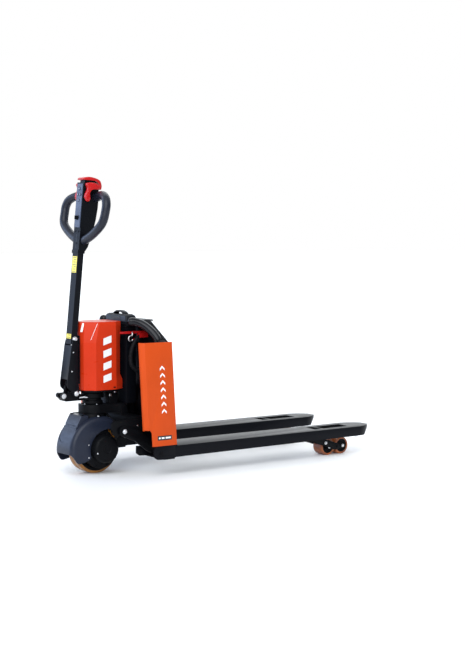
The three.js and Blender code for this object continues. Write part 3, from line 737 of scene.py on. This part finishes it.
# the cover's outline at each height: z, then corners (x, y) from the front round the near side
COVER = (
    (366, ((-72, -22), (-69, -44), (-30, -83), (72, -84), (118, -58))),
    (405, ((-72, -22), (-69, -44), (-30, -83), (72, -84), (118, -58))),
    (432, ((-72, -22), (-69, -44), (-30, -83), (71, -84), (104, -60))),
    (572, ((-72, -22), (-69, -44), (-31, -83), (71, -84), (104, -60))),
    (645, ((-74, -22), (-63, -40), (-12, -76), (70, -83), (107, -62))),
    (661, ((-74, -20), (-60, -34), (-8, -70), (69, -80), (107, -60))),
)
COVER_FACE_Y = 84.1
VENT_GROUPS = 6
VENT_FOOT = 402
VENT_PITCH = 34
SLATS = 4
SLAT_PITCH = 5.5
FILM_LIFT = 0.4


def cover_point(corner, z):
    """A corner of the cover's outline at any height."""
    for (z0, low), (z1, high) in zip(COVER, COVER[1:]):
        if z <= z1:
            t = (z - z0) / (z1 - z0)
            return Vector(low[corner]).lerp(Vector(high[corner]), t)
    return Vector(COVER[-1][1][corner])


def on_cover(corner, along, z):
    """A point on the near facet after a corner: along runs 0..1 to the next corner."""
    p = cover_point(corner, z).lerp(cover_point(corner + 1, z), along)
    return at(p.x, p.y, z)


def make_cover():
    """The moulded front cover, its vent slats, latch, and generic slanted bars on both sides."""
    bm = bmesh.new()
    rings = []
    for z, half in COVER:
        rings.append([at(x, y, z) for x, y in half] + [at(x, -y, z) for x, y in reversed(half)])
    ring_mesh(bm, rings)
    bmesh.ops.dissolve_limit(bm, angle_limit=math.radians(0.8), verts=bm.verts, edges=bm.edges)
    bevelled(bm, 1.4, 2, 6.0)
    finish_mesh("front_cover_body", bm, "cover_orange", "chassis", replaces=("front_cover",), angle=8)
    refined("vent_panel", 0.8)
    for k in range(VENT_GROUPS):
        for j in range(SLATS):
            z = VENT_FOOT + k * VENT_PITCH + j * SLAT_PITCH
            low, high = (-80.2, -18, z), (-78.2, 18, z + 3)
            rounded_box(f"vent_slat_{k}_{j}", low, high, "plastic_black", "chassis", 0.5)
    for name, s in SIDES:

        def on_face(x, z, y=s * COVER_FACE_Y):
            return at(x, y, z)

        for k in range(4):
            z0 = 398 + k * 54
            shape = [(6, z0), (46, z0 + 12), (46, z0 + 42), (6, z0 + 30)]
            print_shape(f"cover_mark_{name}_{k}", shape, on_face, "print_white", "chassis", (0, s, 0))
    rounded_box("cover_latch", (56, -86.2, 374), (66, -83.6, 379), "plastic_black", "chassis", 0.8)


def highlight_film(name, facet, levels, out_y, thick):
    """A painted highlight film on a facet of the cover: levels of (z, along from, along to), joined in
    pairs.
    """
    for side_name, side in SIDES:
        out = Vector((-0.8, side * out_y, 0.1)).normalized()
        for k, ((z0, a0, b0), (z1, a1, b1)) in enumerate(zip(levels, levels[1:])):
            corners = [on_cover(facet, a0, z0), on_cover(facet, b0, z0), on_cover(facet, b1, z1),
                       on_cover(facet, a1, z1)]
            if side > 0:
                corners = [Vector((p.x, -p.y, p.z)) for p in corners]
            lifted = [p + out * FILM_LIFT * MM for p in corners]
            slab(f"{name}_{side_name}_{k}", lifted, out, thick, "print_white", "chassis", 0.0)


def make_cover_highlights():
    """White painted highlights at the top of the front facets, and a fine pale painted highlight line on
    the corner facets.
    """
    # print_white films that are not print: painted highlights where light catches the cover's top corners
    stripe = ((618, 0.04, 0.62), (645, 0.44, 0.90), (656, 0.62, 0.98))
    line = ((584, 0.55, 0.575), (645, 0.84, 0.865), (654, 0.90, 0.925))
    highlight_film("cover_painted_flash", 0, stripe, 0.3, 0.4)
    highlight_film("cover_painted_line", 1, line, 0.7, 0.15)


# ------------------------------------------------------------------ battery
# the cap's levels: height, and how far it is drawn in; the grip's section: along x, down from its top
BATTERY_CAP = ((652.3, 3), (656, 0), (677, 0), (683, 2), (687, 6), (688, 9))
GRIP_ROUTE = ((-46, 686), (-38, 697), (-20, 704), (0, 706), (20, 704), (38, 697), (46, 686))
GRIP_SECTION = ((-13, 7), (-14, 3), (-10, 0.5), (0, 0), (10, 0.5), (14, 3), (13, 7))
GRIP_X = 145


def make_grip():
    """The carrying grip: one section carried along an arch over the cap."""
    grip = smooth_path([at(GRIP_X, y, z) for y, z in GRIP_ROUTE], 8)
    rings = []
    for i, p in enumerate(grip):
        ahead = (grip[min(i + 1, len(grip) - 1)] - grip[max(i - 1, 0)]).normalized()
        up = Vector((-1, 0, 0)).cross(ahead).normalized()
        if up.z < 0:
            up = -up
        rings.append([p + Vector((x, 0, 0)) * MM - up * down * MM for x, down in GRIP_SECTION])
    bm = bmesh.new()
    ring_mesh(bm, rings)
    finish_mesh("battery_grip", bm, "battery_plastic", "battery", angle=60)


def make_battery():
    """The housing, and the pack with its cap, ribs, window and grip."""
    refined("battery_housing", 3.0)
    bm = bmesh.new()
    ring_mesh(bm, [rounded_rect(118 + i, 171 - i, -88 + i, 88 - i, 8, z) for z, i in BATTERY_CAP])
    finish_mesh("battery_pack_body", bm, "battery_plastic", "battery", ("battery_pack",))
    rounded_box("battery_block", (124, -80.5, 308), (168, 80.5, 654), "plastic_black", "battery", 3.0)
    for k in (-3, -2, 2, 3):
        y = k * 22
        rounded_box(f"battery_rib_{k + 3}", (126, y - 3, 686), (163, y + 3, 690), "battery_plastic",
                    "battery", 1.2)
    make_grip()
    rounded_box("battery_window", (117.2, -40, 664), (119, 40, 680), "gloss_black", "battery", 0.6)


def rounded_rect(x0, x1, y0, y1, r, z):
    """A rounded rectangle of points at one height."""
    corners = ((x1 - r, y0 + r, -90), (x1 - r, y1 - r, 0), (x0 + r, y1 - r, 90), (x0 + r, y0 + r, 180))
    return [at(x, y, z) for cx, cy, a in corners for x, y in arc_points(cx, cy, r, a, a + 90, 5)]


# ------------------------------------------------------------------ tiller
# the head's side view (u, w), and how its half width grows upwards
HEAD_SIDE = ((-16, 339), (12, 339), (18, 343), (28, 360), (48, 435), (56, 480), (60.5, 530), (61, 570),
             (58, 612), (50, 630), (40, 634), (-16, 634))
HEAD_HALF_LOW = 26.5
HEAD_WIDENING = 2.5
HEAD_WIDENING_HEIGHT = 200
PIVOT = (25.3, 0, -271.8)


def head_half(w):
    """Half of the head's width at a height along the tiller."""
    return HEAD_HALF_LOW + HEAD_WIDENING * min(1.0, max(0.0, (w - 339) / HEAD_WIDENING_HEIGHT))


def make_head_shell():
    """The tiller head's shell and the collar where it meets the tube."""
    bm = bmesh.new()
    ring_mesh(bm, [[on_tiller(u, s * head_half(w), w) for u, w in HEAD_SIDE] for s in (-1, 1)])
    bevelled(bm, 4.5, 3, 20.0)
    finish_mesh("head_shell_body", bm, "plastic_black", "tiller", replaces=("head_shell",))
    rounded_box("head_collar", (-19, -26, 330), (15, 26, 344), "plastic_black", "tiller", 3.0,
                place=on_tiller)


def make_tiller_bolts():
    """The pivot bolt right through the foot, the tube's bolts, the bracket's studs and the side screws."""
    head = domed_head(11, 9, 7)
    through = [(0, -60), (7, -60), (7, 0)] + head[1:]
    stud = [(0, 0), (11, 0), (10.8, 0.4), (8.4, 0.5), (8, 0.8), (0, 0.8)]
    for name, s in SIDES:
        turned(f"pivot_bolt_{name}", on_tiller(*PIVOT) + mirrored(s, 32), (0, s, 0),
               through if s < 0 else head, "zinc", "tiller", 32, replaces=("pivot_bolt",) if s < 0 else ())
        turned(f"tube_bolt_{name}", on_tiller(1.3, 0, -40) + mirrored(s, 23), (0, s, 0),
               domed_head(12, 9, 7.5), "zinc", "tiller", 32)
        turned(f"bracket_bolt_{name}", at(-156, s * 27, 346), (0, s, 0), stud, "zinc", "steer", 32)
    for name, s in SIDES:
        for k, w in enumerate((-96, -178)):
            cap_bolt(f"base_screw_{name}_{k}", on_tiller(-6, s * 32, w), (0, s, 0), 3.2, "tiller", 2.4)


def make_tiller():
    """Foot, tube, head, loops and controls, and the release lever on the bracket."""
    refined("tiller_base", 1.2)
    rounded_box("tiller_tube_body", (-16, -23, -62), (12, 23, 338.7), "steel_black", "tiller", 4.0,
                replaces=("tiller_tube",), place=on_tiller, segments=3)
    make_head_shell()
    make_loops()
    make_head_face()
    make_red_controls()
    make_tiller_bolts()
    tag("tube_label_top", 246, 316)
    tag("tube_label_low", -38, -18)
    lever = ((-84, -34, 338), (-60, -36, 340), (-46, -38, 336), (-48, -38, 332), (-62, -36, 334),
             (-84, -34, 333))
    slab("release_lever", [at(*q) for q in lever], ALONG_Y, 3, "zinc", "steer", 0.8)


def tag(name, low, high):
    """A yellow film on the front of the tiller tube, with plain dark bars of three lengths."""
    out = on_tiller(-1, 0, 0) - on_tiller(0, 0, 0)
    film = [on_tiller(-16.2, y, w) for y, w in ((-19, low), (19, low), (19, high), (-19, high))]
    slab(name, film, out, 0.3, "label_yellow", "tiller", 0.0)
    count = max(2, int((high - low) / 9))
    step = (high - low) / count
    bar_half = 1.1
    for k in range(count):
        mid = low + step * (k + 0.5)
        end = 14 - 5 * (k % 3)
        bar = ((-14, mid - bar_half), (end, mid - bar_half), (end, mid + bar_half), (-14, mid + bar_half))
        slab(f"{name}_bar_{k}", [on_tiller(-16.6, y, w) for y, w in bar], out, 0.2, "label_black", "tiller",
             0.0)


LOOP_ROUTE = ((8, 24, 385), (8, 86, 409), (8, 144, 443), (10, 167, 470), (14, 172, 505), (17, 171, 537),
              (22, 155, 563), (32, 120, 579), (43, 76, 583), (47, 46, 577), (47, 24, 575))


def loop_radius(t):
    """The grip, a little thicker at both ends of a loop."""
    return 18.6 + 1.4 * abs(2 * t - 1) ** 6


def make_loops():
    """The two halves of the loop handle."""
    for name, s in SIDES:
        path = smooth_path([on_tiller(u, s * y, w) for u, y, w in LOOP_ROUTE], 10)
        swept(f"loop_handle_{name}_body", path, loop_radius, "grip_rubber", "tiller",
              replaces=(f"loop_handle_{name}",), sides=32)


# node, place (y, w) on the panel, radius of its dot
BUTTONS = (("horn_button", 0, 606, 1.6), ("lift_button", -10, 582, 1.2), ("lower_button", 10, 582, 1.2),
           ("creep_button", 0, 556, 1.2))


def make_head_face():
    """Control film, buttons, lamp windows and screws on the operator's side of the head."""
    out = (on_tiller(-1, 0, 0) - on_tiller(0, 0, 0)).normalized()
    refined("control_panel", 0.8)
    for node, y, w, radius in BUTTONS:
        refined(node, 1.2, 3, "button_grey", over=20)
        dot = [(0, 0), (radius, 0), (radius, 0.35), (0, 0.35)]
        turned(f"{node}_dot", on_tiller(-22.6, y, w), out, dot, "print_white", node, 20)
    refined("key_switch", 1.0)
    lamp = [(0, 1.4), (2.0, 1.3), (2.6, 0.9), (2.6, 0), (0, 0)]
    for k, y in enumerate((0, -7, 7)):
        turned(f"lamp_{k}", on_tiller(-16.4, y, 536), out, lamp, "print_white", "tiller", 20)
    screw = [(0, 0.4), (2.4, 0.4), (2.8, 1.6), (5, 1.4), (5.4, 0), (0, 0)]
    for k, (y, w) in enumerate(((-14, 424), (14, 424), (0, 372))):
        turned(f"head_screw_{k}", on_tiller(-15.8, y, w), out, screw, "plastic_black", "tiller", 24)
    groove = [on_tiller(-16.1, y, w) for y, w in ((-1, 352), (1, 352), (1, 412), (-1, 412))]
    slab("head_seam", groove, out, 0.4, "label_black", "tiller", 0.0)


# side views (u, w) of a throttle wing and of the emergency-reverse cap
WING = ((-12, 629), (-6, 612), (-7, 598), (-13, 582), (-13, 568), (-6, 556), (3, 553), (7, 560), (4, 574),
        (3, 588), (12, 603), (30, 609), (56, 609), (62, 614), (58, 624), (38, 633), (12, 636))
CAP = ((-17, 645), (0, 645.5), (20, 646), (44, 645), (62, 630), (71, 620), (73.5, 619), (73, 630),
       (64, 648), (44, 657), (14, 660.5), (-6, 657.5), (-17, 652))
# across the shape: y, and how much of its full outline it has there
WING_LEVELS = ((30.2, 0.94), (32, 0.99), (38, 1.0), (45, 0.99), (48.5, 0.95), (50, 0.86))
CAP_LEVELS = ((-29.5, 0.9), (-28, 0.97), (-23, 1.0), (23, 1.0), (28, 0.97), (29.5, 0.9))


def pillowed(name, outline, centre, levels, body, replaces):
    """A red moulding: a smooth side view, drawn in towards a centre at its two faces."""
    shape = smooth_outline(outline, 4)
    u0, w0 = centre
    rings = []
    for y, k in levels:
        rings.append([on_tiller(u0 + (u - u0) * k, y, w0 + (w - w0) * k) for u, w in shape])
    bm = bmesh.new()
    ring_mesh(bm, rings)
    finish_mesh(name, bm, "control_red", body, replaces=replaces, angle=60)


def make_red_controls():
    """Both throttle wings on their shaft, and the emergency-reverse cap on its neck."""
    for name, s in SIDES:
        levels = [(s * y, k) for y, k in WING_LEVELS]
        replaces = ("throttle",) if s < 0 else ()
        pillowed(f"throttle_wing_{name}", WING, (15, 600), levels, "throttle", replaces)
    shaft = [(0, -31), (5, -31), (5, 31), (0, 31)]
    turned("throttle_shaft", on_tiller(15, 0, 612), ALONG_Y, shaft, "plastic_black", "throttle", 24)
    neck = [on_tiller(u, -19, w) for u, w in ((-8, 634), (46, 634), (46, 644.5), (-8, 647.5))]
    slab("belly_neck", neck, ALONG_Y, 38, "plastic_black", "belly_button", 2.0)
    pillowed("belly_button_body", CAP, (24, 642), CAP_LEVELS, "belly_button", ("belly_button",))


SPRING_TOP = (-100, 0, 548)
SPRING_FOOT = (-140, 0, 350)


def make_gas_spring():
    """The barrel, its dark rod, and a pleated boot over the rod's lower end."""
    refined("spring_cylinder", 0.5)
    refined("spring_rod", 0.3, 2, "cast_black")
    foot, top = at(*SPRING_FOOT), at(*SPRING_TOP)
    pleats = [(7.0 if k % 2 else 5.6, 5.0 + 3.0 * k) for k in range(12)]
    boot = [(3.8, 4), (6.6, 4)] + pleats + [(3.8, 41)]
    turned("spring_boot", foot, top - foot, boot, "plastic_black", "spring_plunger", 28)


# ------------------------------------------------------------------ fork frame
def make_fork_frame():
    """Forks, heels, plate, hood and panels, with weld beads, pins, and an orange bracket painted deep red
    as painted shade.
    """
    entry = [(0, -28), (11, -28), (13, -26), (13, 26), (11, 28), (0, 28)]
    pin = [(0, 0), (11, 0), (11, 1), (8, 1.5), (8, 3.5), (0, 3.5)]
    for name, s in SIDES:
        refined(f"fork_{name}", 1.6, 2)
        refined(f"heel_{name}", 1.6)
        make_bent_tube(name, s)
        weld = [at(259.5, s * FORK_Y + y, 130 + 0.8 * (k % 2)) for k, y in enumerate(range(-72, 73, 6))]
        bead = smooth_path(weld, 2)
        swept(f"weld_bead_{name}", bead, 2.6, "cast_black", "fork_frame", sides=12, dome=True)
        refined(f"side_panel_{name}", 1.2)
        make_panel_print(name, s)
        turned(f"entry_roller_{name}_body", at(1322, s * FORK_Y, 84), ALONG_Y, entry, "zinc",
               f"entry_{name}", 40, replaces=(f"entry_roller_{name}",))
        turned(f"heel_pin_{name}", at(176, s * 278, 98), (0, s, 0), pin, "cast_black", "fork_frame", 28)
    refined("bulkhead", 2.0)
    refined("hood", 2.0)
    refined("piston_rod", 0.8)
    # bar, block and brace are orange-painted steel; control_red gives them the deep red of orange in
    # shadow: painted shade
    rounded_box("shaded_red_bar", (82.5, -98, 607), (218.5, -92, 616.8), "control_red", "fork_frame", 1.0)
    rounded_box("shaded_red_block", (172, -117.5, 589), (213, -91.2, 610.8), "control_red", "fork_frame", 2.5,
                replaces=("red_bracket",))
    brace = [at(x, -104, z) for x, z in ((146, 580), (151, 577), (176, 594), (176, 602))]
    slab("shaded_red_brace", brace, ALONG_Y, 8, "control_red", "fork_frame", 1.0)
    make_hook()
    make_hood_ribs()


TUBE_ROUTE = ((124, 113, 660), (137, 128, 660), (156, 158, 650), (176, 194, 624), (192, 221, 590),
              (200, 232, 552))
TUBE_R = 17.5


def make_bent_tube(name, s):
    """A stiff tube from beside the battery's cap down behind the side panel."""
    path = smooth_path([at(x, s * y, z) for x, y, z in TUBE_ROUTE], 10)
    swept(f"bent_tube_{name}_body", path, TUBE_R, "gloss_black", "fork_frame",
          (f"bent_tube_{name}",), sides=32, dome=True)


def make_hood_ribs():
    """Ribs along the hood's slopes."""
    slope = Vector((0, 130, 89)).normalized()
    for name, s in SIDES:
        for k in range(4):
            x = 188 + k * 8
            lift = Vector((0, s * slope.z, slope.y)) * 1.2 * MM
            rib = [at(x, s * 240, 585.6) + lift, at(x, s * 142, 653) + lift]
            swept(f"hood_rib_{name}_{k}", rib, 1.5, "plastic_black", "fork_frame", sides=10, dome=True)


def make_panel_print(name, s):
    """Generic print: a column of white chevrons, and a black plate with plain bars near the foot."""
    def on_panel(x, z, y=s * PANEL_FACE_Y):
        return at(panel_x(x, z), y, z)

    def on_plate(x, z):
        return on_panel(x, z, s * (PANEL_FACE_Y + 0.3))

    out = (0, s, 0)

    for k in range(7):
        mark = chevron(200, 284 + k * 31, 12, 12, 9)
        print_shape(f"panel_mark_{name}_{k}", mark, on_panel, "print_white", "fork_frame", out)
    plate = [(160, 158), (232, 158), (232, 177), (160, 177)]
    print_shape(f"panel_plate_{name}", plate, on_panel, "label_black", "fork_frame", out)
    for k, (x0, x1) in enumerate(((166, 174), (180, 194), (200, 226))):
        bar = [(x0, 164), (x1, 164), (x1, 171), (x0, 171)]
        print_shape(f"panel_plate_bar_{name}_{k}", bar, on_plate, "print_white", "fork_frame", out)


HOOK_CENTRE = (132.0, 586.0)
HOOK_BEND = 11.0
SLEEVE_ROUTE = ((182, -104, 598), (162, -104, 584), (146, -104, 560), (134, -105, 530), (131, -105, 500),
                (137, -105, 470), (158, -107, 448), (192, -110, 440), (228, -112, 440))


def sleeve_radius(t):
    """A sleeve that is fuller at its middle and softly pleated."""
    return 8.4 + 1.4 * math.sin(math.pi * t) + 0.5 * math.sin(t * 90.0)


def make_hook():
    """An open wire hook under the bar painted red as shaded orange, and a sleeved cable from the bar to the
    upright plate.
    """
    turn = [at(x, -104, z) for x, z in arc_points(*HOOK_CENTRE, HOOK_BEND, 60, 330, 14)]
    shank = [at(142, -99, 612), at(141, -103, 606), at(139, -104, 600)]
    swept("wire_hook", smooth_path(shank + turn, 3), 3.4, "zinc", "fork_frame", sides=14, dome=True)
    sleeve = smooth_path([at(*q) for q in SLEEVE_ROUTE], 16)
    swept("cable_sleeve", sleeve, sleeve_radius, "cable_black", "fork_frame")


# ------------------------------------------------------------------ linkage and load wheels
ROLLER_Z = 40


def make_linkage():
    """Rocker, push rod, load arm and bogie on each side, with their bolts and rollers."""
    for name, s in SIDES:
        refined(f"rocker_{name}", 2.0)
        turned(f"rocker_bolt_{name}", at(43, s * 197, 197), (0, s, 0),
               domed_head(10.5, 8, 6.5, 1.5, 0.3), "zinc", f"rocker_{name}", 32)
        refined(f"push_rod_{name}", 0.8)
        refined(f"load_arm_{name}", 1.2)
        refined(f"bogie_{name}", 1.0)
        arm_face = s * (FORK_Y + 49)
        hex_bolt(f"arm_lock_bolt_{name}", at(1113, arm_face, 62), (0, s, 0), 8, f"load_arm_{name}", 5)
        hex_bolt(f"arm_pivot_bolt_{name}", at(1182, arm_face, ROLLER_Z), (0, s, 0), 6.5, f"load_arm_{name}",
                 3, "cast_black")
        for place, x in (("inner", 1141), ("outer", 1223)):
            make_roller(f"{name}_{place}", at(x, s * FORK_Y, ROLLER_Z), f"roller_{name}_{place}",
                        f"bogie_{name}")


def make_roller(name, centre, body, bogie):
    """A load roller's tyre and hub, and the axle's caps on its bogie."""
    tread = both_ends([(40, 25), (39.7, 28.5), (38.6, 31), (36.5, 32), (31, 31.5)])
    turned(f"load_roller_{name}_body", centre, ALONG_Y, tread, "roller_tyre", body, 72,
           replaces=(f"load_roller_{name}",))
    hub = both_ends([(30.7, 30.5), (22, 28), (21, 25), (17, 25), (16, 23), (6.5, 23)])
    turned(f"roller_hub_{name}", centre, ALONG_Y, hub, "cast_black", body, 56)
    cap = [(0, -1), (6, -1), (7.4, 0), (7.4, 2), (5, 3.2), (0, 3.2)]
    for side_name, side in (("near", -1), ("far", 1)):
        spot = centre + mirrored(side, 41)
        turned(f"axle_cap_{name}_{side_name}", spot, (0, side, 0), cap, "zinc", bogie, 28)


# ------------------------------------------------------------------ build
make_materials()
make_camera()
make_stage()
make_drive()
make_fender()
make_gearbox()
make_chassis()
make_cover()
make_cover_highlights()
make_battery()
make_tiller()
make_gas_spring()
make_fork_frame()
make_linkage()
